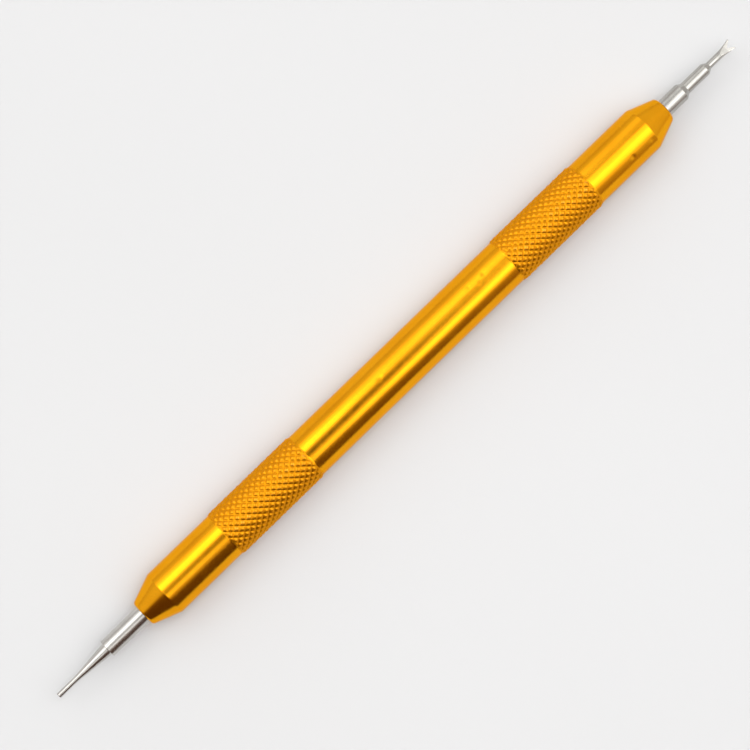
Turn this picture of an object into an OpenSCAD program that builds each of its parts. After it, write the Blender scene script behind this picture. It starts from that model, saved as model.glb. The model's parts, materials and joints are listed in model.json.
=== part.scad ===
// Spring bar tool.  A one-piece turned handle with two knurled grip bands holds a
// forked tip at one end and a pin tip at the other, each screwed into a socket in
// the nose.  The tool lies along X on the plane z = 0, with the fork towards +X
// and the middle of its whole length at x = 0.

/* [Handle] */
// Length of the handle between its two nose faces
handle_len = 108.4; // [96:0.2:130]
// Diameter of the handle's plain stretches
handle_d = 7.5; // [6.6:0.1:9]
// Diameter of the flat face on each nose
nose_face_d = 4.2; // [3.8:0.1:5]
// Length of each cone-shaped nose
nose_len = 4.4; // [3:0.1:6]
// Bevel where each cone meets its flat face
nose_bevel = 0.35; // [0.1:0.05:0.4]
// Length of the plain stretch between a nose and its grip band
end_len = 12.2; // [8:0.2:16]

/* [Grip bands] */
// Length of each knurled band
band_len = 16.8; // [12:0.2:22]
// How far the knurl's points stand proud of the plain stretches
band_rise = 0.2; // [0.1:0.05:0.3]
// Depth of the knurl's grooves below its points
knurl_depth = 0.42; // [0.3:0.02:0.5]
// Number of points around the band
knurl_count = 20; // [16:1:24]

/* [Tip sockets] */
// Diameter of the tips' shanks
shank_d = 2.9; // [2.6:0.1:3]
// How deep a shank sits in its socket
seat_len = 2; // [1.5:0.1:3]
// Diameter of the plain bore that stands for the tapped hole
thread_bore_d = 2.5; // [2:0.1:2.5]
// Depth of the tapped hole below the shank's seat
thread_bore_len = 7.2; // [6.8:0.2:9]
// Length of the threaded stud on each tip
stud_len = 6; // [5:0.2:6.4]
// Gap between a tip and its socket, on the radius
fit_gap = 0.05; // [0.02:0.01:0.08]

/* [Fork tip] */
// Length of the shank that shows outside the nose
fork_shank_len = 3.8; // [3:0.1:8]
// Diameter of the step behind the neck
fork_step_d = 2; // [1.6:0.1:2.3]
// Length of the step behind the neck
fork_step_len = 4.3; // [3:0.1:8]
// Diameter of the neck
neck_d = 1.15; // [0.9:0.05:1.4]
// Length of the neck
neck_len = 2.3; // [1.5:0.1:5]
// Length of the flared fork
fork_len = 2.6; // [2.2:0.1:4]
// Width of the fork at the root of its notch
fork_root_w = 1.45; // [1.4:0.05:1.65]
// Width across the ends of the two prongs
fork_w = 1.85; // [1.7:0.05:2.4]
// Thickness of the prongs at their ends
prong_t = 0.45; // [0.3:0.05:0.6]
// Width of the notch at its mouth
notch_w = 1.3; // [0.8:0.05:1.35]
// Depth of the notch
notch_len = 0.9; // [0.8:0.1:1.4]
// Radius at the root of the notch
notch_root_r = 0.25; // [0.15:0.05:0.3]

/* [Pin tip] */
// Length of the shank that shows outside the nose
pin_shank_len = 7.3; // [5:0.1:12]
// Diameter of the taper where it leaves the shank
taper_d = 2.1; // [1.4:0.05:2.2]
// Length of the taper
taper_len = 6.2; // [3:0.1:8]
// Diameter of the pin
pin_d = 0.85; // [0.6:0.05:1]
// Length of the pin
pin_len = 3.6; // [2:0.1:6]

/* [Hidden] */
$fn = 96;
over = 1;

step_bevel_len = 0.75;
shank_bevel = 0.12;
pin_bevel = 0.06;
stud_bevel = 0.3;
drill_point_angle = 118;
core_drop = 0.3;
flats_share = 0.55;

handle_r = handle_d / 2;
shank_r = shank_d / 2;
stud_r = thread_bore_d / 2 - fit_gap;
fork_step_r = fork_step_d / 2;
neck_r = neck_d / 2;
taper_r = taper_d / 2;
pin_r = pin_d / 2;

band_r = handle_r + band_rise;
groove_r = band_r - knurl_depth;
core_r = groove_r - core_drop;
band_sink = 0.2;
knurl_steps = 2 * knurl_count;
knurl_rows = round(band_len / (PI * 2 * band_r / knurl_steps));

fork_reach = fork_shank_len + fork_step_len + neck_len + fork_len + 2 * step_bevel_len;
pin_reach = pin_shank_len + taper_len + pin_len;
tool_len = pin_reach + handle_len + fork_reach;
axis_z = band_r;
pin_nose_x = pin_reach - tool_len / 2;
fork_nose_x = pin_nose_x + handle_len;

// Stands a shape drawn along +Z with its base at the origin on the tool's axis,
// pointing to the fork end or to the pin end.
module towards_fork(x)
    translate([x, 0, axis_z])
        rotate([0, 90, 0])
            children();

module towards_pin(x)
    translate([x, 0, axis_z])
        rotate([0, -90, 0])
            children();

// Half outline of the handle, which is symmetric end to end.  The core is thinner
// under each band, where the knurled sleeve of metal fills the place.
module handle_outline() {
    band_start = nose_len + end_len;
    half = [
        [nose_face_d / 2 - nose_bevel, 0],
        [nose_face_d / 2, nose_bevel],
        [handle_r, nose_len],
        [handle_r, band_start],
        [core_r, band_start],
        [core_r, band_start + band_len],
        [handle_r, band_start + band_len]
    ];
    last = len(half) - 1;
    other_half = [for (i = [last:-1:0]) [half[i].x, handle_len - half[i].y]];
    polygon(concat([[0, 0]], half, other_half, [[0, handle_len]]));
}

// Diamond knurl: rings of points half a diamond apart.  Every second point of a ring
// is a crest, and the rest are the crossings of two grooves.
function knurl_point_r(i, k) =
    k > 0 && k < knurl_rows && (i + k) % 2 == 0 ? band_r : groove_r;

function knurl_ring(k, z) = [
    for (i = [0:knurl_steps - 1])
        let (a = i * 360 / knurl_steps, r = knurl_point_r(i, k))
            [r * cos(a), r * sin(a), z]
];

// The two faces of the cell at step i of ring k, split along the groove.
function knurl_cell(i, k) =
    let (
        next = (i + 1) % knurl_steps,
        a = k * knurl_steps + i,
        b = k * knurl_steps + next,
        c = (k + 1) * knurl_steps + next,
        d = (k + 1) * knurl_steps + i
    )
    (i + k) % 2 == 1 ? [[a, d, b], [b, d, c]] : [[a, c, b], [a, d, c]];

module knurled_band() {
    row_len = band_len / knurl_rows;
    heights = concat(
        [-band_sink],
        [for (k = [0:knurl_rows]) k * row_len],
        [band_len + band_sink]
    );
    rings = len(heights);
    points = [for (k = [0:rings - 1]) each knurl_ring(k - 1, heights[k])];
    sides = [for (k = [0:rings - 2]) for (i = [0:knurl_steps - 1]) each knurl_cell(i, k)];
    first_cap = [for (i = [0:knurl_steps - 1]) i];
    last_cap = [for (i = [knurl_steps - 1:-1:0]) (rings - 1) * knurl_steps + i];
    polyhedron(points, concat([first_cap, last_cap], sides));
}

// Counterbore for the shank and tapped hole for the stud, drawn inwards along +Z.
module tip_socket() {
    bore_r = thread_bore_d / 2;
    translate([0, 0, -over])
        cylinder(h = seat_len + over, r = shank_r + fit_gap);
    cylinder(h = seat_len + thread_bore_len, r = bore_r);
    translate([0, 0, seat_len + thread_bore_len])
        cylinder(h = bore_r / tan(drill_point_angle / 2), r1 = bore_r, r2 = 0);
}

module handle()
    color("goldenrod")
        difference() {
            union() {
                towards_fork(pin_nose_x)
                    rotate_extrude()
                        handle_outline();
                for (start = [nose_len + end_len, handle_len - nose_len - end_len - band_len])
                    towards_fork(pin_nose_x + start)
                        knurled_band();
            }
            towards_fork(pin_nose_x)
                tip_socket();
            towards_pin(fork_nose_x)
                tip_socket();
        }

// Outline of the stud and the seated end of the shank, from the stud's end to the
// nose face at height 0.
function stud_outline() = [
    [0, -seat_len - stud_len],
    [stud_r - stud_bevel, -seat_len - stud_len],
    [stud_r, -seat_len - stud_len + stud_bevel],
    [stud_r, -seat_len + fit_gap],
    [shank_r, -seat_len + fit_gap]
];

module fork_body() {
    bevel_top = fork_shank_len + step_bevel_len;
    step_end = bevel_top + fork_step_len;
    neck_start = step_end + step_bevel_len;
    flare_start = neck_start + neck_len;
    rotate_extrude()
        polygon(concat(stud_outline(), [
            [shank_r, fork_shank_len],
            [fork_step_r, bevel_top],
            [fork_step_r, step_end],
            [neck_r, neck_start],
            [neck_r, flare_start],
            [fork_root_w / 2, fork_reach - notch_len],
            [fork_w / 2, fork_reach],
            [0, fork_reach]
        ]));
}

// Side view of the metal left around the fork: full behind the flare, then two flats
// that close in to the prongs' thickness.
module fork_flats() {
    flare_start = fork_reach - fork_len;
    flats_start = flare_start + fork_len * flats_share;
    rotate([90, 0, 0])
        linear_extrude(height = 2 * shank_d, center = true)
            polygon([
                [-shank_d, -seat_len - stud_len - over],
                [shank_d, -seat_len - stud_len - over],
                [shank_d, flare_start],
                [neck_r, flare_start],
                [prong_t / 2, flats_start],
                [prong_t / 2, fork_reach + over],
                [-prong_t / 2, fork_reach + over],
                [-prong_t / 2, flats_start],
                [-neck_r, flare_start],
                [-shank_d, flare_start]
            ]);
}

// The notch between the prongs, a V that opens towards the end from a round root.
module notch() {
    root = fork_reach - notch_len + notch_root_r;
    mouth = fork_reach + over;
    mouth_half = notch_root_r + (notch_w / 2 - notch_root_r) * (mouth - root) / (fork_reach - root);
    rotate([90, 0, 90])
        linear_extrude(height = shank_d, center = true)
            union() {
                translate([0, root])
                    circle(r = notch_root_r);
                polygon([
                    [-notch_root_r, root],
                    [notch_root_r, root],
                    [mouth_half, mouth],
                    [-mouth_half, mouth]
                ]);
            }
}

module fork_tip()
    color("silver")
        towards_fork(fork_nose_x)
            difference() {
                intersection() {
                    fork_body();
                    fork_flats();
                }
                notch();
            }

module pin_tip()
    color("silver")
        towards_pin(pin_nose_x)
            rotate_extrude()
                polygon(concat(stud_outline(), [
                    [shank_r, pin_shank_len - shank_bevel],
                    [shank_r - shank_bevel, pin_shank_len],
                    [taper_r, pin_shank_len],
                    [pin_r, pin_shank_len + taper_len],
                    [pin_r, pin_reach - pin_bevel],
                    [pin_r - pin_bevel, pin_reach],
                    [0, pin_reach]
                ]));

handle();
fork_tip();
pin_tip();
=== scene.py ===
"""Spring bar tool: a gold anodised handle, turned and knurled, with a forked steel tip
and a steel pin tip screwed into its noses.  It lies on a pale table under soft light.

The CAD model gives every place and outer size.  This script rebuilds its three nodes as
finer meshes with their threads, soft edges, knurl and wear, and gives them materials.
"""

import json
import math

import bmesh
import bpy
from mathutils import Matrix, Vector, noise


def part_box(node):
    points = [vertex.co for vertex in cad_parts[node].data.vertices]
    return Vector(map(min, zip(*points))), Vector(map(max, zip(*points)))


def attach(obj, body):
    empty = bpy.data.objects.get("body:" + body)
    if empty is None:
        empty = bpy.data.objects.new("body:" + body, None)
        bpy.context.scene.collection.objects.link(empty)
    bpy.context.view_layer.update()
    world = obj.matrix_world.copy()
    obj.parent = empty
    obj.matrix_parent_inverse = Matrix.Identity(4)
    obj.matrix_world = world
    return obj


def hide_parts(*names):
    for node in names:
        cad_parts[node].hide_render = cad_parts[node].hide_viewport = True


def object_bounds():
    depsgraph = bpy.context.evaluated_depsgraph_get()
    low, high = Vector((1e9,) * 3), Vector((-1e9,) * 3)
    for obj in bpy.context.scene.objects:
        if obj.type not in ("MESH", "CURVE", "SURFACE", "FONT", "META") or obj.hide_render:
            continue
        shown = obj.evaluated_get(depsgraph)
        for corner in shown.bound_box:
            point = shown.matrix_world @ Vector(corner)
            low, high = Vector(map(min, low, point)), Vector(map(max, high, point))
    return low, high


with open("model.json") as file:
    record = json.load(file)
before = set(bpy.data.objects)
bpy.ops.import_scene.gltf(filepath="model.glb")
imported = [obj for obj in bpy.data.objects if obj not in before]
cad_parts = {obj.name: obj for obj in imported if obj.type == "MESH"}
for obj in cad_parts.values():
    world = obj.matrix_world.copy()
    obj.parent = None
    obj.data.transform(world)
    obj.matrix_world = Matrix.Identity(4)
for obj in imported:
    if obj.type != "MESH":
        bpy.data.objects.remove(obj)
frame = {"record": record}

CAD_LOW, CAD_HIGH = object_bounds()
MM = 0.001

# ---------------------------------------------------------------- sizes from the frame

MOUNTS = {m["name"]: m for m in frame["record"]["mounts"]}
HANDLE_LOW, HANDLE_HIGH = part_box("handle")
PIN_LOW, PIN_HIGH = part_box("pin_tip")
FORK_END_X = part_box("fork_tip")[1].x

AXIS_Z = (HANDLE_LOW.z + HANDLE_HIGH.z) / 2
BAND_R = (HANDLE_HIGH.z - HANDLE_LOW.z) / 2
PIN_NOSE_X = HANDLE_LOW.x
FORK_NOSE_X = HANDLE_HIGH.x

PLAIN = MOUNTS["handle_end_fork_side"]
PLAIN_R = PLAIN["dims"]["r_mm"] * MM
PLAIN_LEN = PLAIN["dims"]["length_mm"] * MM
NOSE_LEN = FORK_NOSE_X - PLAIN["pos_m"][0] - PLAIN_LEN / 2
PIN_R = MOUNTS["pin_end"]["dims"]["r_mm"] * MM
SHANK_R = (PIN_HIGH.z - PIN_LOW.z) / 2
STUD_DEPTH = PIN_HIGH.x - PIN_NOSE_X

# ------------------------------------------------- sizes that the frame does not state

BAND_LEN = 16.8 * MM
NOSE_FACE_R = 2.1 * MM
NOSE_FILLET = 0.5 * MM
KNURL_DEPTH = 0.18 * MM
KNURL_COUNT = 20
KNURL_ROWS = 27

SEAT_LEN = 2.0 * MM
SEAT_GAP = 0.05 * MM
SOCKET_R = SHANK_R + SEAT_GAP
SOCKET_CHAMFER = 0.10 * MM
BORE_R = 1.25 * MM
BORE_LEN = 7.2 * MM
DRILL_POINT_ANGLE = math.radians(118)
THREAD_PITCH = 0.45 * MM
BORE_THREAD_DEPTH = 0.14 * MM
STUD_R = 1.2 * MM
STUD_THREAD_DEPTH = 0.22 * MM

FORK_SHANK_LEN = 3.8 * MM
STEP_BEVEL_LEN = 0.75 * MM
FORK_STEP_R = 1.0 * MM
FORK_STEP_LEN = 4.3 * MM
NECK_R = 0.575 * MM
NECK_LEN = 2.3 * MM
FORK_HALF_W = 0.925 * MM
PRONG_HALF_T = 0.225 * MM
NOTCH_LEN = 0.9 * MM
NOTCH_HALF_W = 0.65 * MM
NOTCH_ROOT_R = 0.25 * MM
# How the fork's width grows along its length: 1 would be a straight flare.
FLARE_CURVE = 1.6
# The share of the fork's length over which its two flats close in.
FLATS_SHARE = 0.55

PIN_SHANK_LEN = 7.3 * MM
TAPER_R = 1.05 * MM
TAPER_BLEND_R = 12 * MM
PIN_LEN = 3.6 * MM
PIN_END_R = 0.09 * MM

# Radii of the tips' edges: the sharp ones, and the ones at the end of a shank or step.
SHARP_EDGE = 0.06 * MM
SHANK_EDGE = 0.10 * MM

# -------------------------------------------------------------- how fine the meshes are

KNURL_FINE = 5
SIDES = 2 * KNURL_COUNT * KNURL_FINE
BORE_SIDES = SIDES // 5
TIP_SIDES = 96
STUD_SIDES = TIP_SIDES // 2
PLAIN_STEP = 1.1 * MM
KNOCK_STEP = 0.2 * MM
HOLD_STEP = 0.1 * MM
CONE_STEP = 0.4 * MM
BLADE_STEP = 0.08 * MM
PRONG_STEP = 0.1 * MM

# ------------------------------------------------------------------------ mesh helpers


def add_object(name, data):
    made = bpy.data.objects.new(name, data)
    bpy.context.scene.collection.objects.link(made)
    return made


class Skin:
    """Points and faces of one closed mesh, built ring by ring along the tool's axis.

    Each ring is given in the tool's own frame: x along the axis, r from the axis and an
    angle that is 0 at the top and grows towards +Y.
    """

    def __init__(self):
        self.points = []
        self.faces = []

    def point(self, x, y, z):
        self.points.append((x, y, AXIS_Z + z))
        return len(self.points) - 1

    def ring(self, x, radius, sides):
        """A ring of points.  radius is a number or a function of the angle."""
        made = []
        for i in range(sides):
            angle = 2 * math.pi * i / sides
            r = radius(angle) if callable(radius) else radius
            made.append(self.point(x, r * math.sin(angle), r * math.cos(angle)))
        return made

    def quads(self, a, b):
        n = len(a)
        for i in range(n):
            j = (i + 1) % n
            self.faces.append((a[i], a[j], b[j], b[i]))

    def triangles(self, a, b, odd):
        """Joins two rings by triangles; odd(i) picks the diagonal of cell i."""
        n = len(a)
        for i in range(n):
            j = (i + 1) % n
            if odd(i):
                self.faces += [(a[i], a[j], b[j]), (a[i], b[j], b[i])]
            else:
                self.faces += [(a[i], a[j], b[i]), (a[j], b[j], b[i])]

    def fan(self, ring, tip):
        n = len(ring)
        for i in range(n):
            self.faces.append((ring[i], ring[(i + 1) % n], tip))

    def reduce(self, fine, coarse):
        """Joins a ring to the next one, which has a whole number of times fewer points."""
        times = len(fine) // len(coarse)
        half = times // 2
        n = len(fine)
        for j, here in enumerate(coarse):
            after = coarse[(j + 1) % len(coarse)]
            for k in range(times):
                a, b = fine[(j * times + k) % n], fine[(j * times + k + 1) % n]
                if k == half:
                    self.faces.append((a, here, after))
                self.faces.append((a, b, here if k < half else after))

    def make(self, name, body):
        mesh = bpy.data.meshes.new(name)
        mesh.from_pydata(self.points, [], self.faces)
        mesh.validate()
        piece = add_object(name, mesh)
        for polygon in mesh.polygons:
            polygon.use_smooth = True
        fix_normals(mesh)
        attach(piece, body)
        return piece


def fix_normals(mesh):
    made = bmesh.new()
    made.from_mesh(mesh)
    bmesh.ops.recalc_face_normals(made, faces=made.faces)
    made.to_mesh(mesh)
    made.free()


def soft_outline(corners, steps=4, hold=0.012 * MM):
    """(x, r) points of a turned outline.  Each corner is (x, r, fillet radius); a fillet is
    an arc with a holding point before and after it, so that shading stays crisp."""
    made = [corners[0][:2]]
    for before, here, after in zip(corners, corners[1:], corners[2:]):
        p, radius = Vector(here[:2]), here[2]
        into = (p - Vector(before[:2])).normalized()
        out = (Vector(after[:2]) - p).normalized()
        turn = into.angle(out, 0)
        if radius == 0 or turn < 0.01:
            made.append(tuple(p))
            continue
        reach = radius * math.tan(turn / 2)
        start, end = p - into * reach, p + out * reach
        side = Vector((-into.y, into.x))
        if side.dot(out) < 0:
            side = -side
        centre = start + side * radius
        made.append(tuple(start - into * hold))
        for k in range(steps + 1):
            share = k / steps
            blend = (start - centre) * math.sin((1 - share) * turn)
            blend += (end - centre) * math.sin(share * turn)
            made.append(tuple(centre + blend / math.sin(turn)))
        made.append(tuple(end + out * hold))
    made.append(corners[-1][:2])
    return made


def stepped(start, end, step):
    """Evenly spaced numbers between start and end, without the two ends."""
    count = max(1, round(abs(end - start) / step))
    return [start + (end - start) * k / count for k in range(1, count)]


def smooth_step(low, high, value):
    share = min(1.0, max(0.0, (value - low) / (high - low)))
    return share * share * (3 - 2 * share)


def soft_min(a, b, blend):
    """The smaller of two numbers, rounded over where they are within blend of each other."""
    share = max(0.0, blend - abs(a - b)) / blend
    return min(a, b) - share * share * blend / 4


THREAD_STEEPNESS = 1.35
THREAD_ROOT_FLAT = 0.1


def thread_wave(x, angle):
    """0 at a thread's root and 1 at its crest, for a right-hand thread along the axis."""
    turn = (x / THREAD_PITCH - angle / (2 * math.pi)) % 1.0
    return min(1.0, max(0.0, THREAD_STEEPNESS * (1 - abs(2 * turn - 1)) - THREAD_ROOT_FLAT))


# -------------------------------------------------------------------------- the handle

# Small knocks on the plain stretches: x, angle, radius across and depth.
KNOCKS = [
    (46.4 * MM, math.radians(-31), 0.55 * MM, 0.035 * MM),
    (50.3 * MM, math.radians(-33), 0.45 * MM, 0.030 * MM),
    (18.0 * MM, math.radians(19), 0.70 * MM, 0.025 * MM),
    (15.0 * MM, math.radians(20), 0.60 * MM, 0.022 * MM),
    (16.7 * MM, math.radians(9), 0.55 * MM, 0.018 * MM),
    (-4.0 * MM, math.radians(9), 0.65 * MM, 0.016 * MM),
    (-42.0 * MM, math.radians(60), 0.60 * MM, 0.020 * MM),
    (6.0 * MM, math.radians(150), 0.70 * MM, 0.022 * MM),
]
# A slight waver of the plain surfaces: its size, its length, and how far it sinks inwards
# as a share of its size.
WAVER = 0.004 * MM
WAVER_LENGTH = 3.0 * MM
WAVER_SINK = 0.35


def handled_r(x, radius):
    """The plain radius with the slight waver and the knocks of use, by angle."""
    near = [k for k in KNOCKS if abs(k[0] - x) < k[2]]

    def at(angle):
        y, z = math.sin(angle) * radius, math.cos(angle) * radius
        place = Vector((x, y, z)) / WAVER_LENGTH
        r = radius + WAVER * (noise.noise(place) - WAVER_SINK)
        for knock_x, knock_angle, across, depth in near:
            turn = (angle - knock_angle + math.pi) % (2 * math.pi) - math.pi
            reach = math.hypot(x - knock_x, turn * radius) / across
            if reach < 1:
                r -= depth * (1 - reach * reach) ** 2
        return r

    return at


# The knurl's height is a share of its depth.  The edges of its points are rounded, its
# crests are cut off flat and worn unevenly, and it runs out over RUN_OUT rows at a band's
# ends.  The last two wear values say how fast the wear changes round and along the band.
EDGE_BLEND = 0.4
CREST_CUT = 1.12
WEAR = 0.06
WEAR_MIDDLE = 0.4
WEAR_BLEND = 0.16
WEAR_ROUND = 2.2
WEAR_ALONG = 0.23
RUN_OUT = 0.8


def knurl_height(around, along):
    """0 in a groove and 1 on a crest, with crests where around + along is even."""

    def ridge(v):
        return abs(math.cos(math.pi * v / 2))

    return soft_min(ridge(around + along), ridge(around - along), EDGE_BLEND)


def knurl_r(along, seed):
    """Radius of the knurl by angle, at a place given in rows from the band's start."""
    ease = smooth_step(0, RUN_OUT, min(along, KNURL_ROWS - along))

    def at(angle):
        around = angle / (2 * math.pi) * 2 * KNURL_COUNT
        height = min(1.0, knurl_height(around, along) * CREST_CUT)
        y, z = math.sin(angle) * WEAR_ROUND, math.cos(angle) * WEAR_ROUND
        place = Vector((y, z, along * WEAR_ALONG + seed))
        worn = WEAR * (noise.noise(place) + WEAR_MIDDLE)
        height = soft_min(height, 1.0 - worn, WEAR_BLEND)
        proud = BAND_R - PLAIN_R - KNURL_DEPTH * (1 - height)
        return PLAIN_R + proud * ease

    return at


def add_band(skin, last, x, seed):
    """Adds a knurled band from x on to the skin, whose last ring is given."""
    row = BAND_LEN / KNURL_ROWS
    steps = KNURL_ROWS * KNURL_FINE
    for k in range(1, steps):
        along = k / KNURL_FINE
        ring = skin.ring(x + along * row, knurl_r(along, seed), SIDES)
        if k == 1:
            skin.quads(last, ring)
        else:
            row_index = (k - 1) // KNURL_FINE
            skin.triangles(last, ring, lambda i: (i // KNURL_FINE + row_index) % 2 == 1)
        last = ring
    return last


def plain_places(start, end):
    """Places of the rings on a plain stretch: close together at its ends and at knocks."""
    x = start + HOLD_STEP
    places = [x]
    while x < end - HOLD_STEP:
        to_knock = min(abs(knock[0] - x) - knock[2] for knock in KNOCKS)
        x = min(end - HOLD_STEP, x + max(KNOCK_STEP, min(PLAIN_STEP, to_knock)))
        places.append(x)
    return places + [end]


def add_plain(skin, last, start, end):
    """Adds a plain stretch between two places, ending with a ring at the second."""
    for x in plain_places(start, end):
        ring = skin.ring(x, handled_r(x, PLAIN_R), SIDES)
        skin.quads(last, ring)
        last = ring
    return last


def socket_rings(skin, nose_x, inwards):
    """Rings of a socket from the nose's face down to the drill point, with its thread."""
    corner = 0.02 * MM
    lead_w, lead_len = 0.16 * MM, 0.14 * MM
    thread_gap, thread_run_out = 0.2 * MM, 0.6 * MM
    mouth = [
        (nose_x, SOCKET_R + SOCKET_CHAMFER),
        (nose_x + inwards * SOCKET_CHAMFER, SOCKET_R),
        (nose_x + inwards * (SEAT_LEN - corner), SOCKET_R),
        (nose_x + inwards * SEAT_LEN, SOCKET_R - corner),
        (nose_x + inwards * SEAT_LEN, BORE_R + lead_w),
        (nose_x + inwards * (SEAT_LEN + lead_len), BORE_R),
    ]
    rings = [skin.ring(x, r, BORE_SIDES) for x, r in mouth]
    first = nose_x + inwards * (SEAT_LEN + thread_gap)
    last = nose_x + inwards * (SEAT_LEN + BORE_LEN - thread_run_out)
    for x in stepped(first, last, THREAD_PITCH / 6):
        fade = smooth_step(0, THREAD_PITCH, abs(x - last))

        def threaded(angle, x=x, fade=fade):
            return BORE_R + BORE_THREAD_DEPTH * fade * (1 - thread_wave(x, angle))

        rings.append(skin.ring(x, threaded, BORE_SIDES))
    end = nose_x + inwards * (SEAT_LEN + BORE_LEN)
    rings.append(skin.ring(end, BORE_R, BORE_SIDES))
    point = end + inwards * BORE_R / math.tan(DRILL_POINT_ANGLE / 2)
    return rings, skin.point(point, 0, 0)


def nose_outline(nose_x, inwards):
    """Outline from the nose's flat face back over the cone to the plain stretch."""
    start_r = SOCKET_R + 2 * SOCKET_CHAMFER
    run = 0.6 * MM
    corners = [
        (nose_x, start_r, 0),
        (nose_x, NOSE_FACE_R, NOSE_FILLET),
        (nose_x + inwards * NOSE_LEN, PLAIN_R, NOSE_FILLET),
        (nose_x + inwards * (NOSE_LEN + run), PLAIN_R, 0),
    ]
    points = soft_outline(corners, steps=6, hold=0.03 * MM)
    cone = []
    for a, b in zip(points, points[1:]):
        cone.append(a)
        if abs(a[0] - b[0]) > 2 * CONE_STEP:
            for x in stepped(a[0], b[0], CONE_STEP):
                cone.append((x, a[1] + (b[1] - a[1]) * (x - a[0]) / (b[0] - a[0])))
    return cone + [points[-1]]


PIN_BAND_SEED = 3.0
FORK_BAND_SEED = 41.0


def make_handle():
    skin = Skin()

    def add_nose(nose_x, inwards):
        rings, point = socket_rings(skin, nose_x, inwards)
        for a, b in zip(rings, rings[1:]):
            skin.quads(a, b)
        skin.fan(rings[-1], point)
        outline = nose_outline(nose_x, inwards)
        outer = [skin.ring(x, handled_r(x, r), SIDES) for x, r in outline]
        skin.reduce(outer[0], rings[0])
        for a, b in zip(outer, outer[1:]):
            skin.quads(a, b)
        return outer[-1], outline[-1][0]

    last, x = add_nose(PIN_NOSE_X, 1)
    band_start = PIN_NOSE_X + NOSE_LEN + PLAIN_LEN
    last = add_plain(skin, last, x, band_start)
    last = add_band(skin, last, band_start, PIN_BAND_SEED)
    middle_start = band_start + BAND_LEN
    far_band = FORK_NOSE_X - NOSE_LEN - PLAIN_LEN - BAND_LEN
    edge = skin.ring(middle_start, handled_r(middle_start, PLAIN_R), SIDES)
    skin.quads(last, edge)
    last = add_plain(skin, edge, middle_start, far_band)
    last = add_band(skin, last, far_band, FORK_BAND_SEED)
    edge = skin.ring(far_band + BAND_LEN, handled_r(far_band + BAND_LEN, PLAIN_R), SIDES)
    skin.quads(last, edge)
    far_nose, x = add_nose(FORK_NOSE_X, -1)
    last = add_plain(skin, edge, far_band + BAND_LEN, x - CONE_STEP)
    skin.quads(last, far_nose)
    return skin.make("handle_turned", "handle")


# ---------------------------------------------------------------------------- the tips

STUD_END_R = STUD_R - 0.35 * MM
RELIEF_R = STUD_R - STUD_THREAD_DEPTH - 0.02 * MM
RELIEF_LEN = 0.7 * MM
LEAD_LEN = 0.4 * MM
LEAD_DROP = 0.15 * MM
FADE_LEN = 0.3 * MM


def add_stud(skin, nose_x, outwards):
    """The threaded stud up to the face that seats in the socket; returns the last ring and
    the face's place.  The thread leads in from the stud's end and fades into a relief."""
    end = nose_x - outwards * STUD_DEPTH
    seat = nose_x - outwards * (SEAT_LEN - SEAT_GAP)
    last = skin.ring(end, STUD_END_R, STUD_SIDES)
    skin.fan(last, skin.point(end, 0, 0))
    thread_start = end + outwards * 0.05 * MM
    thread_end = seat - outwards * RELIEF_LEN
    for x in stepped(thread_start, thread_end, THREAD_PITCH / 8):
        lead = smooth_step(0, LEAD_LEN, abs(x - end))
        fade = lead * smooth_step(0, FADE_LEN, abs(x - thread_end))

        def threaded(angle, x=x, lead=lead, fade=fade):
            root = RELIEF_R - LEAD_DROP * (1 - lead)
            return root + (STUD_R - RELIEF_R) * fade * thread_wave(x, angle)

        ring = skin.ring(x, threaded, STUD_SIDES)
        skin.quads(last, ring)
        last = ring
    for x in (thread_end, seat - outwards * 0.02 * MM):
        ring = skin.ring(x, RELIEF_R, STUD_SIDES)
        skin.quads(last, ring)
        last = ring
    ring = skin.ring(seat, RELIEF_R + 0.05 * MM, TIP_SIDES)
    skin.reduce(ring, last)
    return ring, seat


def add_outline(skin, last, outline):
    for x, r in outline:
        ring = skin.ring(x, r, TIP_SIDES)
        skin.quads(last, ring)
        last = ring
    return last


SEAT_FACE_R = SHANK_R - 0.25 * MM


def make_pin_tip():
    skin = Skin()
    last, seat = add_stud(skin, PIN_NOSE_X, -1)
    shank_end = PIN_NOSE_X - PIN_SHANK_LEN
    tip = PIN_LOW.x
    corners = [
        (seat, SEAT_FACE_R, 0),
        (seat, SHANK_R, SHARP_EDGE),
        (shank_end, SHANK_R, SHANK_EDGE),
        (shank_end, TAPER_R, SHARP_EDGE),
        (tip + PIN_LEN, PIN_R, TAPER_BLEND_R),
        (tip, PIN_R, PIN_END_R),
        (tip, 0.1 * MM, 0),
    ]
    last = add_outline(skin, last, soft_outline(corners))
    skin.fan(last, skin.point(tip, 0, 0))
    return skin.make("pin_tip_turned", "pin_tip")


def notch_half_w(x, root_x, end_x):
    """Half width of the notch at x: a round root, then a V out to the mouth."""
    centre = root_x + NOTCH_ROOT_R
    if x <= root_x:
        return 0.0
    if x < centre:
        return math.sqrt(NOTCH_ROOT_R**2 - (centre - x) ** 2)
    share = (x - centre) / (end_x - centre)
    return NOTCH_ROOT_R + (NOTCH_HALF_W - NOTCH_ROOT_R) * share


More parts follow.
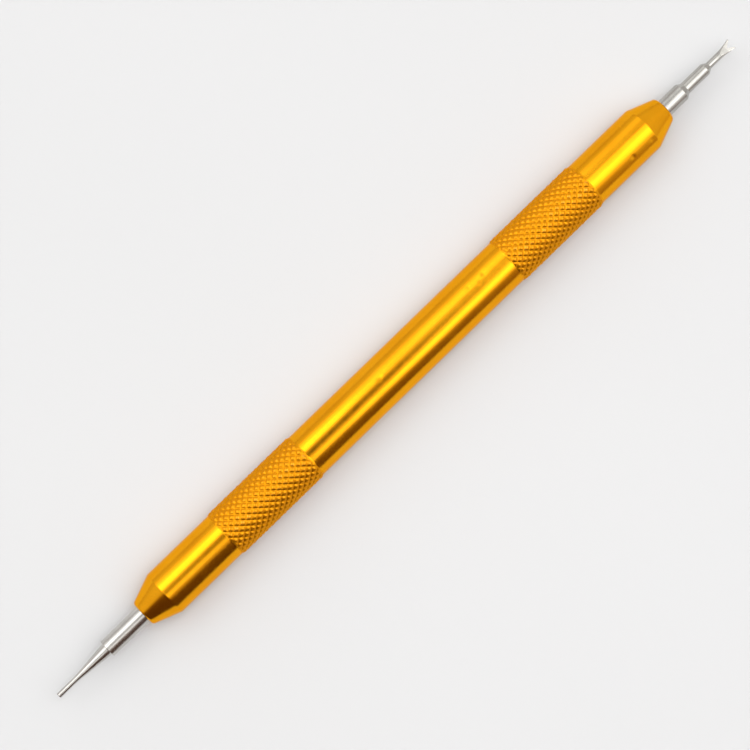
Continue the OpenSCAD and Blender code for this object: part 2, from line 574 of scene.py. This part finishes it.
def blade_half_ring(x, flare_x, end_x):
    """(y, z) points down one side of the fork's blade at x, from its top to its underside:
    a round bar of the blade's width, cut by two flats with slightly soft edges."""
    share = (x - flare_x) / (end_x - flare_x)
    half_w = NECK_R + (FORK_HALF_W - NECK_R) * max(0.0, share) ** FLARE_CURVE
    closing = min(1.0, share / FLATS_SHARE)
    half_t = NECK_R + (PRONG_HALF_T - NECK_R) * closing
    crisp = 14
    points = []
    half_sides = TIP_SIDES // 2
    for k in range(half_sides + 1):
        angle = math.pi * k / half_sides
        flat = half_t / max(1e-6, abs(math.cos(angle)))
        if share <= 0:
            r = half_w
        else:
            r = (half_w**-crisp + flat**-crisp) ** (-1 / crisp)
        points.append((r * math.sin(angle), r * math.cos(angle)))
    return points


def make_fork_tip():
    skin = Skin()
    last, seat = add_stud(skin, FORK_NOSE_X, 1)
    step_x = FORK_NOSE_X + FORK_SHANK_LEN
    step_end = step_x + STEP_BEVEL_LEN + FORK_STEP_LEN
    neck_x = step_end + STEP_BEVEL_LEN
    flare_x = neck_x + NECK_LEN
    end_x = FORK_END_X
    root_x = end_x - NOTCH_LEN
    corners = [
        (seat, SEAT_FACE_R, 0),
        (seat, SHANK_R, SHARP_EDGE),
        (step_x, SHANK_R, SHANK_EDGE),
        (step_x + STEP_BEVEL_LEN, FORK_STEP_R, 0.08 * MM),
        (step_end, FORK_STEP_R, SHANK_EDGE),
        (neck_x, NECK_R, 0.12 * MM),
        (flare_x, NECK_R, 0),
    ]
    last = add_outline(skin, last, soft_outline(corners))

    # The solid blade, from the neck to the root of the notch.
    for x in stepped(flare_x, root_x, BLADE_STEP):
        right = blade_half_ring(x, flare_x, end_x)
        ring = [skin.point(x, y, z) for y, z in right]
        ring += [skin.point(x, -y, z) for y, z in reversed(right[1:-1])]
        skin.quads(last, ring)
        last = ring

    # At the root the ring parts into two prongs, which share a line through the blade.
    inner_steps = 5
    root_half = blade_half_ring(root_x, flare_x, end_x)
    top, bottom = skin.point(root_x, *root_half[0]), skin.point(root_x, *root_half[-1])
    sides = {}
    for hand in (1, -1):
        sides[hand] = [top]
        sides[hand] += [skin.point(root_x, hand * y, z) for y, z in root_half[1:-1]]
        sides[hand].append(bottom)
    ring = sides[1] + list(reversed(sides[-1][1:-1]))
    skin.quads(last, ring)
    low, high = root_half[-1][1], root_half[0][1]
    shared = [
        skin.point(root_x, 0, low + (high - low) * k / inner_steps)
        for k in range(1, inner_steps)
    ]

    round_root = [
        root_x + NOTCH_ROOT_R * (1 - math.cos(math.radians(a))) for a in range(15, 91, 15)
    ]
    straight = stepped(root_x + NOTCH_ROOT_R, end_x, PRONG_STEP)
    bevel = 0.05 * MM
    places = round_root + straight + [end_x - bevel, end_x]
    for hand in (1, -1):
        last = sides[hand] + shared
        for x in places:
            inside = notch_half_w(x, root_x, end_x)
            outline = blade_half_ring(min(x, end_x - 0.01 * MM), flare_x, end_x)
            widest = max(y for y, z in outline)
            shrink = bevel if x == end_x else 0.0
            near, far = inside + shrink, widest - shrink
            flat = 1 - shrink / PRONG_HALF_T
            rim = [(near + (far - near) * y / widest, z * flat) for y, z in outline]
            low, high = rim[-1][1], rim[0][1]
            rim += [(near, low + (high - low) * k / inner_steps) for k in range(1, inner_steps)]
            ring = [skin.point(x, hand * y, z) for y, z in rim]
            skin.quads(last, ring)
            last = ring
        skin.faces.append(tuple(last))
    piece = skin.make("fork_tip_turned", "fork_tip")
    sharpen_notch(piece, root_x)
    return piece


CREASE_ANGLE = math.radians(50)


def sharpen_notch(piece, root_x):
    """Keeps the milled edges of the notch and of the prongs' ends crisp in shading."""
    mesh = piece.data
    made = bmesh.new()
    made.from_mesh(mesh)
    for edge in made.edges:
        beyond = min(v.co.x for v in edge.verts) > root_x - 0.01 * MM
        if beyond and len(edge.link_faces) == 2 and edge.calc_face_angle(0) > CREASE_ANGLE:
            edge.smooth = False
    made.to_mesh(mesh)
    made.free()


# --------------------------------------------------------------------------- materials


# The places of a Mix node's two colour sockets and of its colour output.
MIX_A, MIX_B, MIX_RESULT = 6, 7, 2


class Nodes:
    """Short calls for building one material's node tree."""

    def __init__(self, name):
        self.material = bpy.data.materials.new(name)
        self.material.use_nodes = True
        self.tree = self.material.node_tree
        self.shader = self.tree.nodes["Principled BSDF"]
        self.place = self.add("ShaderNodeTexCoord").outputs["Object"]

    def add(self, kind, **settings):
        node = self.tree.nodes.new(kind)
        for key, value in settings.items():
            setattr(node, key, value)
        return node

    def link(self, output, target):
        self.tree.links.new(output, target)

    def coordinate(self, axis):
        parts = self.add("ShaderNodeSeparateXYZ")
        self.link(self.place, parts.inputs["Vector"])
        return parts.outputs[axis]

    def noise(self, scale, detail=3.0, roughness=0.55):
        """Noise in millimetres: scale is (x, y, z) cycles per millimetre."""
        mapping = self.add("ShaderNodeMapping")
        mapping.inputs["Scale"].default_value = [s / MM for s in scale]
        self.link(self.place, mapping.inputs["Vector"])
        made = self.add("ShaderNodeTexNoise")
        made.inputs["Scale"].default_value = 1.0
        made.inputs["Detail"].default_value = detail
        made.inputs["Roughness"].default_value = roughness
        self.link(mapping.outputs["Vector"], made.inputs["Vector"])
        return made.outputs["Fac"]

    def remap(self, value, low, high, to_low, to_high):
        made = self.add("ShaderNodeMapRange")
        for key, number in (
            ("From Min", low),
            ("From Max", high),
            ("To Min", to_low),
            ("To Max", to_high),
        ):
            made.inputs[key].default_value = number
        self.link(value, made.inputs["Value"])
        return made.outputs["Result"]

    def math(self, operation, a, b):
        made = self.add("ShaderNodeMath", operation=operation)
        for socket, value in zip(made.inputs, (a, b)):
            if isinstance(value, (int, float)):
                socket.default_value = value
            else:
                self.link(value, socket)
        return made.outputs["Value"]

    def mix(self, share, a, b):
        """A colour between a and b, which are RGB colours or outputs."""
        made = self.add("ShaderNodeMix", data_type="RGBA")
        self.link(share, made.inputs["Factor"])
        for place, value in ((MIX_A, a), (MIX_B, b)):
            if isinstance(value, tuple):
                made.inputs[place].default_value = (*value, 1.0)
            else:
                self.link(value, made.inputs[place])
        return made.outputs[MIX_RESULT]

    def bump(self, height, distance, strength=1.0, after=None):
        made = self.add("ShaderNodeBump")
        made.inputs["Distance"].default_value = distance
        made.inputs["Strength"].default_value = strength
        self.link(height, made.inputs["Height"])
        if after is not None:
            self.link(after, made.inputs["Normal"])
        return made.outputs["Normal"]

    def set(self, **values):
        for key, value in values.items():
            socket = self.shader.inputs[key.replace("_", " ")]
            if isinstance(value, (int, float, tuple)):
                socket.default_value = value
            else:
                self.link(value, socket)

    def round_the_axis(self, amount):
        """Stretches the gloss along the tool, as fine turning lines round it do."""
        tangent = self.add("ShaderNodeTangent", direction_type="RADIAL", axis="X")
        self.link(tangent.outputs["Tangent"], self.shader.inputs["Tangent"])
        self.set(Anisotropic=amount)


def knurled_share(n):
    """1 on the two knurled bands and 0 on the rest of the handle."""
    middle = (PIN_NOSE_X + FORK_NOSE_X) / 2
    band_middle = FORK_NOSE_X - NOSE_LEN - PLAIN_LEN - BAND_LEN / 2 - middle
    fade = 0.1 * MM
    from_middle = n.math("ABSOLUTE", n.math("SUBTRACT", n.coordinate("X"), middle), 0)
    from_band = n.math("ABSOLUTE", n.math("SUBTRACT", from_middle, band_middle), 0)
    return n.remap(from_band, BAND_LEN / 2, BAND_LEN / 2 - fade, 0, 1)


GOLD_DEEP, GOLD_BRIGHT = (0.91, 0.365, 0.004), (0.95, 0.405, 0.006)
# Painted shade: the knurled bands get a darker, redder gold than the plain stretches.
GOLD_KNURL_BAND_SHADE = (0.80, 0.305, 0.003)
# Painted highlight: a paler gold for the knurl's crests.  Painted shade: a darker gold for its
# grooves.
GOLD_CREST_HIGHLIGHT, GOLD_GROOVE_SHADE = (1.0, 0.46, 0.05), (0.72, 0.22, 0.003)


def anodised_gold():
    """Turned aluminium with a gold dyed oxide skin.  Painted shade makes the knurled bands
    darker and redder and their grooves darker still; a painted highlight makes the crests paler.
    """
    n = Nodes("anodised_gold")
    cloud = n.noise((0.12, 0.35, 0.35), detail=2)
    fine = n.noise((0.7, 1.6, 1.6), detail=3)
    turned = n.noise((7.0, 0.05, 0.05), detail=2)
    colour = n.mix(n.remap(cloud, 0.35, 0.65, 0, 1), GOLD_DEEP, GOLD_BRIGHT)
    knurled = knurled_share(n)
    # Painted shade: darker, redder gold over the knurled bands.
    colour = n.mix(knurled, colour, GOLD_KNURL_BAND_SHADE)
    pointed = n.add("ShaderNodeNewGeometry").outputs["Pointiness"]
    # Painted highlight: paler gold where the mesh is pointed, on the knurl's crests.
    colour = n.mix(n.remap(pointed, 0.52, 0.59, 0, 0.5), colour, GOLD_CREST_HIGHLIGHT)
    # Painted shade: darker gold where the mesh is hollow, in the knurl's grooves.
    colour = n.mix(n.remap(pointed, 0.475, 0.40, 0, 0.5), colour, GOLD_GROOVE_SHADE)
    rough = n.math("ADD", n.remap(fine, 0.3, 0.7, 0.15, 0.19), n.remap(turned, 0.3, 0.7, 0, 0.03))
    rough = n.math("ADD", rough, n.math("MULTIPLY", knurled, 0.16))
    n.set(Base_Color=colour, Metallic=1.0, Roughness=rough)
    n.set(Specular_Tint=(1.0, 0.78, 0.45, 1.0))
    n.set(Coat_Weight=0.06, Coat_Roughness=0.22, Coat_IOR=1.6)
    n.round_the_axis(0.4)
    lines = n.bump(turned, 0.0008 * MM, 1.0)
    n.set(Normal=n.bump(fine, 0.0015 * MM, 1.0, after=lines))
    return n.material


def turned_steel(name, tone, lines_per_mm, rough_low, rough_high):
    """Bright turned steel with fine rings and faint stains."""
    n = Nodes(name)
    rings = n.noise((lines_per_mm, 0.05, 0.05), detail=3)
    specks = n.noise((3.0, 6.0, 6.0), detail=4)
    stain = n.noise((0.35, 0.8, 0.8), detail=2)
    dark = tuple(0.82 * c for c in tone)
    colour = n.mix(n.remap(stain, 0.35, 0.7, 0, 1), tone, dark)
    colour = n.mix(n.remap(specks, 0.62, 0.75, 0, 0.35), colour, tuple(0.6 * c for c in tone))
    n.set(
        Base_Color=colour,
        Metallic=1.0,
        Roughness=n.remap(specks, 0.3, 0.7, rough_low, rough_high),
    )
    n.round_the_axis(0.4)
    lines = n.bump(rings, 0.0025 * MM, 1.0)
    n.set(Normal=n.bump(specks, 0.002 * MM, 0.7, after=lines))
    return n.material


PAPER_DARK, PAPER_LIGHT = (0.585, 0.591, 0.596), (0.603, 0.609, 0.615)


def paper_white():
    """The pale table: a matt sheet with a barely visible tooth."""
    n = Nodes("pale_table")
    tooth = n.noise((0.9, 0.9, 0.9), detail=5)
    cloud = n.noise((0.006, 0.006, 0.006), detail=2)
    colour = n.mix(n.remap(cloud, 0.3, 0.7, 0, 1), PAPER_DARK, PAPER_LIGHT)
    n.set(Base_Color=colour, Roughness=0.65, Normal=n.bump(tooth, 0.01 * MM, 0.6))
    return n.material


# ------------------------------------------------------------------- table, light, camera


TABLE_HALF = 2.5


def make_table():
    half = TABLE_HALF
    mesh = bpy.data.meshes.new("table")
    corners = [(-half, -half, 0), (half, -half, 0), (half, half, 0), (-half, half, 0)]
    mesh.from_pydata(corners, [], [(0, 1, 2, 3)])
    mesh.materials.append(paper_white())
    table = add_object("table", mesh)


BACKDROP_R = 2.4
BACKDROP_HEIGHT = 2.0
# The wall's glow is painted light, dimmer at its foot as painted shade.
BACKDROP_GLOW_HEIGHT = 0.5
BACKDROP_PAINTED_FOOT_SHADE = 0.42
ROOM_LEVEL = 0.80


def make_backdrop():
    """A pale round wall behind the table, seen only by a low camera.  It glows with painted
    light, dimmer towards its foot as painted shade.  It takes no part in the lighting, so the
    room's own light reaches the tool past it."""
    made = bmesh.new()
    radii = {"radius1": BACKDROP_R, "radius2": BACKDROP_R}
    bmesh.ops.create_cone(made, cap_ends=False, segments=128, depth=BACKDROP_HEIGHT, **radii)
    mesh = bpy.data.meshes.new("backdrop")
    made.to_mesh(mesh)
    made.free()
    mesh.transform(Matrix.Translation((0, 0, BACKDROP_HEIGHT / 2)))
    wall = add_object("backdrop", mesh)
    wall.visible_diffuse = False
    wall.visible_glossy = False
    wall.visible_shadow = False
    n = Nodes("painted_light_wall")
    # Painted shade: the wall's glow fades from the room's level down to a dimmer level at its
    # foot.
    glow = n.remap(n.coordinate("Z"), 0, BACKDROP_GLOW_HEIGHT, BACKDROP_PAINTED_FOOT_SHADE, ROOM_LEVEL)
    n.set(Base_Color=(0, 0, 0, 1), Roughness=1.0)
    n.set(Emission_Color=(1, 1, 1, 1), Emission_Strength=glow)
    mesh.materials.append(n.material)


LAMP_DISTANCE = 0.9


def soft_box(name, low, high, start, end, level):
    """A rectangular lamp along the tool, from start to end in x, facing its axis.

    It reaches from low to high, in degrees from straight up towards -Y.  Its level is the
    brightness that it adds to the room behind it, where a white wall has 1."""
    angle = math.radians(low + high) / 2
    width = 2 * LAMP_DISTANCE * math.tan(math.radians(high - low) / 2)
    lamp = bpy.data.lights.new(name, "AREA")
    lamp.shape = "RECTANGLE"
    lamp.size, lamp.size_y = end - start, width
    lamp.energy = level * math.pi * width * (end - start)
    box = add_object(name, lamp)
    away = Vector((0, -math.sin(angle), math.cos(angle)))
    side = Vector((1, 0, 0))
    basis = Matrix((side, away.cross(side), away)).transposed().to_4x4()
    place = away * LAMP_DISTANCE + side * (start + end) / 2
    box.matrix_world = Matrix.Translation(place) @ basis
    box.visible_camera = False
    return box


def make_lights():
    """Strong boxes on the +Y side, which fade out towards the fork end, where others overhead
    and on the -Y side take their place.  Where boxes overlap, their levels add up.  The last
    box lights the table and doesn't show in the metal."""
    soft_box("key_box", -41, -15, -0.65, -0.02, 1.7)
    soft_box("key_middle", -40, -18, -0.02, 0.064, 2.4)
    soft_box("key_end", -42, -22, 0.100, 0.19, 1.15)
    soft_box("key_shoulder", -52, -38, -0.65, -0.02, 0.5)
    soft_box("key_middle_shoulder", -54, -38, -0.02, 0.064, 0.85)
    soft_box("key_end_shoulder", -53, -42, 0.095, 0.19, 0.65)
    soft_box("key_skirt", -63, -37, -0.65, 0.65, 0.33)
    soft_box("pin_end_box", 11, 26, -0.40, -0.03, 0.7)
    soft_box("side_box", 22, 41, -0.01, 0.60, 1.0)
    soft_box("side_end", 22, 45, 0.062, 0.17, 0.9)
    soft_box("side_far", 22, 36, 0.17, 0.60, 0.7)
    soft_box("side_skirt", 41, 54, 0.065, 0.60, 0.42)
    soft_box("top_skirt", 12, 23, 0.12, 0.60, 0.8)
    soft_box("top_box", 4, 22, 0.19, 0.60, 1.6)
    soft_box("top_edge", -11, 4, 0.19, 0.60, 1.2)
    soft_box("fork_end_box", -12, 20, 0.60, 1.10, 0.9)
    overhead = soft_box("table_fill", -13, 13, -0.30, 0.30, 4.2)
    overhead.visible_glossy = False


# Where the room is dim: towards one side, and in an oval spot overhead.
DIM_SIDE_TOWARDS = (-0.66, -0.75, 0)
SPOT_CENTRE = (0.050, -0.01, 1)
SPOT_HALF_X, SPOT_HALF_Y = 0.085, 0.21
ROOM_TINT, DIM_TINT = (1.0, 0.995, 0.985, 1.0), (1.0, 0.50, 0.33, 1.0)


def make_world():
    """A pale room, dimmer and warmer on one side, in a spot overhead and, a little, low
    down all round."""
    world = bpy.data.worlds.new("room")
    bpy.context.scene.world = world
    world.use_nodes = True
    tree = world.node_tree

    def node(kind, operation, *inputs):
        made = tree.nodes.new(kind)
        made.operation = operation
        for socket, value in zip(made.inputs, inputs):
            if isinstance(value, bpy.types.NodeSocket):
                tree.links.new(value, socket)
            else:
                socket.default_value = value
        return made.outputs[1] if operation in ("DOT_PRODUCT", "LENGTH") else made.outputs[0]

    def share(value, start, end, most):
        """Grows smoothly from 0 to most as value goes from start to end."""
        ramp = tree.nodes.new("ShaderNodeMapRange")
        ramp.interpolation_type = "SMOOTHSTEP"
        for key, number in (("From Min", start), ("From Max", end), ("To Max", most)):
            ramp.inputs[key].default_value = number
        tree.links.new(value, ramp.inputs["Value"])
        return ramp.outputs["Result"]

    look = tree.nodes.new("ShaderNodeTexCoord").outputs["Generated"]
    level = node("ShaderNodeVectorMath", "MULTIPLY", look, (1, 1, 0))
    level = node("ShaderNodeVectorMath", "NORMALIZE", level)
    sideways = node("ShaderNodeVectorMath", "DOT_PRODUCT", level, DIM_SIDE_TOWARDS)
    upwards = node("ShaderNodeVectorMath", "DOT_PRODUCT", look, (0, 0, 1))
    spot = node("ShaderNodeVectorMath", "SUBTRACT", look, SPOT_CENTRE)
    spot = node("ShaderNodeVectorMath", "MULTIPLY", spot, (1 / SPOT_HALF_X, 1 / SPOT_HALF_Y, 1))
    spot = node("ShaderNodeVectorMath", "LENGTH", spot)
    dim_side = share(sideways, 0.45, 0.75, 0.88)
    dim_side = node("ShaderNodeMath", "MULTIPLY", dim_side, share(upwards, 0.95, 0.70, 1))
    lit = node("ShaderNodeMath", "SUBTRACT", 1.0, dim_side)
    open_sky = node("ShaderNodeMath", "SUBTRACT", 1.0, share(spot, 1.15, 0.55, 0.95))
    open_wall = node("ShaderNodeMath", "SUBTRACT", 1.0, share(upwards, 0.4, 0.1, 0.16))
    strength = node("ShaderNodeMath", "MULTIPLY", lit, open_sky)
    strength = node("ShaderNodeMath", "MULTIPLY", strength, open_wall)
    strength = node("ShaderNodeMath", "MULTIPLY", strength, ROOM_LEVEL)
    background = tree.nodes["Background"]
    tree.links.new(strength, background.inputs["Strength"])
    tint = tree.nodes.new("ShaderNodeMix")
    tint.data_type = "RGBA"
    warmth = node("ShaderNodeMath", "MAXIMUM", dim_side, share(spot, 1.15, 0.55, 0.6))
    warmth = node("ShaderNodeMath", "MAXIMUM", warmth, share(upwards, 0.4, 0.1, 0.1))
    tree.links.new(warmth, tint.inputs["Factor"])
    tint.inputs[MIX_A].default_value = ROOM_TINT
    tint.inputs[MIX_B].default_value = DIM_TINT
    tree.links.new(tint.outputs[MIX_RESULT], background.inputs["Color"])


CAMERA_DISTANCE = 0.3726
CAMERA_LENS = 120.2
CAMERA_TILT = math.radians(5.0)
CAMERA_ROLL = math.radians(44.1)
FRAME_OFFSET = (3.79 * MM, 1.56 * MM)


def make_camera():
    """Nearly overhead, leaning towards the pin end, with the tool on the frame's diagonal."""
    back = Vector((-math.sin(CAMERA_TILT), 0, math.cos(CAMERA_TILT)))
    along = Vector((math.cos(CAMERA_TILT), 0, math.sin(CAMERA_TILT)))
    sideways = back.cross(along)
    right = along * math.cos(CAMERA_ROLL) - sideways * math.sin(CAMERA_ROLL)
    up = along * math.sin(CAMERA_ROLL) + sideways * math.cos(CAMERA_ROLL)
    middle = Vector(((CAD_LOW.x + CAD_HIGH.x) / 2, 0, AXIS_Z))
    aim = middle - right * FRAME_OFFSET[0] - up * FRAME_OFFSET[1]
    data = bpy.data.cameras.new("camera")
    data.lens = CAMERA_LENS
    data.clip_start, data.clip_end = 0.01, 20
    camera = add_object("camera", data)
    basis = Matrix((right, up, back)).transposed().to_4x4()
    camera.matrix_world = Matrix.Translation(aim + back * CAMERA_DISTANCE) @ basis
    bpy.context.scene.camera = camera


# ------------------------------------------------------------------------------ the scene

make_camera()

handle = make_handle()
fork_tip = make_fork_tip()
pin_tip = make_pin_tip()
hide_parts("handle")
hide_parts("fork_tip")
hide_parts("pin_tip")

FORK_TONE, PIN_TONE = (0.52, 0.505, 0.47), (0.62, 0.60, 0.565)
handle.data.materials.append(anodised_gold())
fork_tip.data.materials.append(turned_steel("fork_steel_turned", FORK_TONE, 9.0, 0.17, 0.26))
pin_tip.data.materials.append(turned_steel("pin_steel_turned", PIN_TONE, 6.0, 0.18, 0.27))

make_table()
make_backdrop()
make_lights()
make_world()
bpy.context.scene.view_settings.view_transform = "Standard"
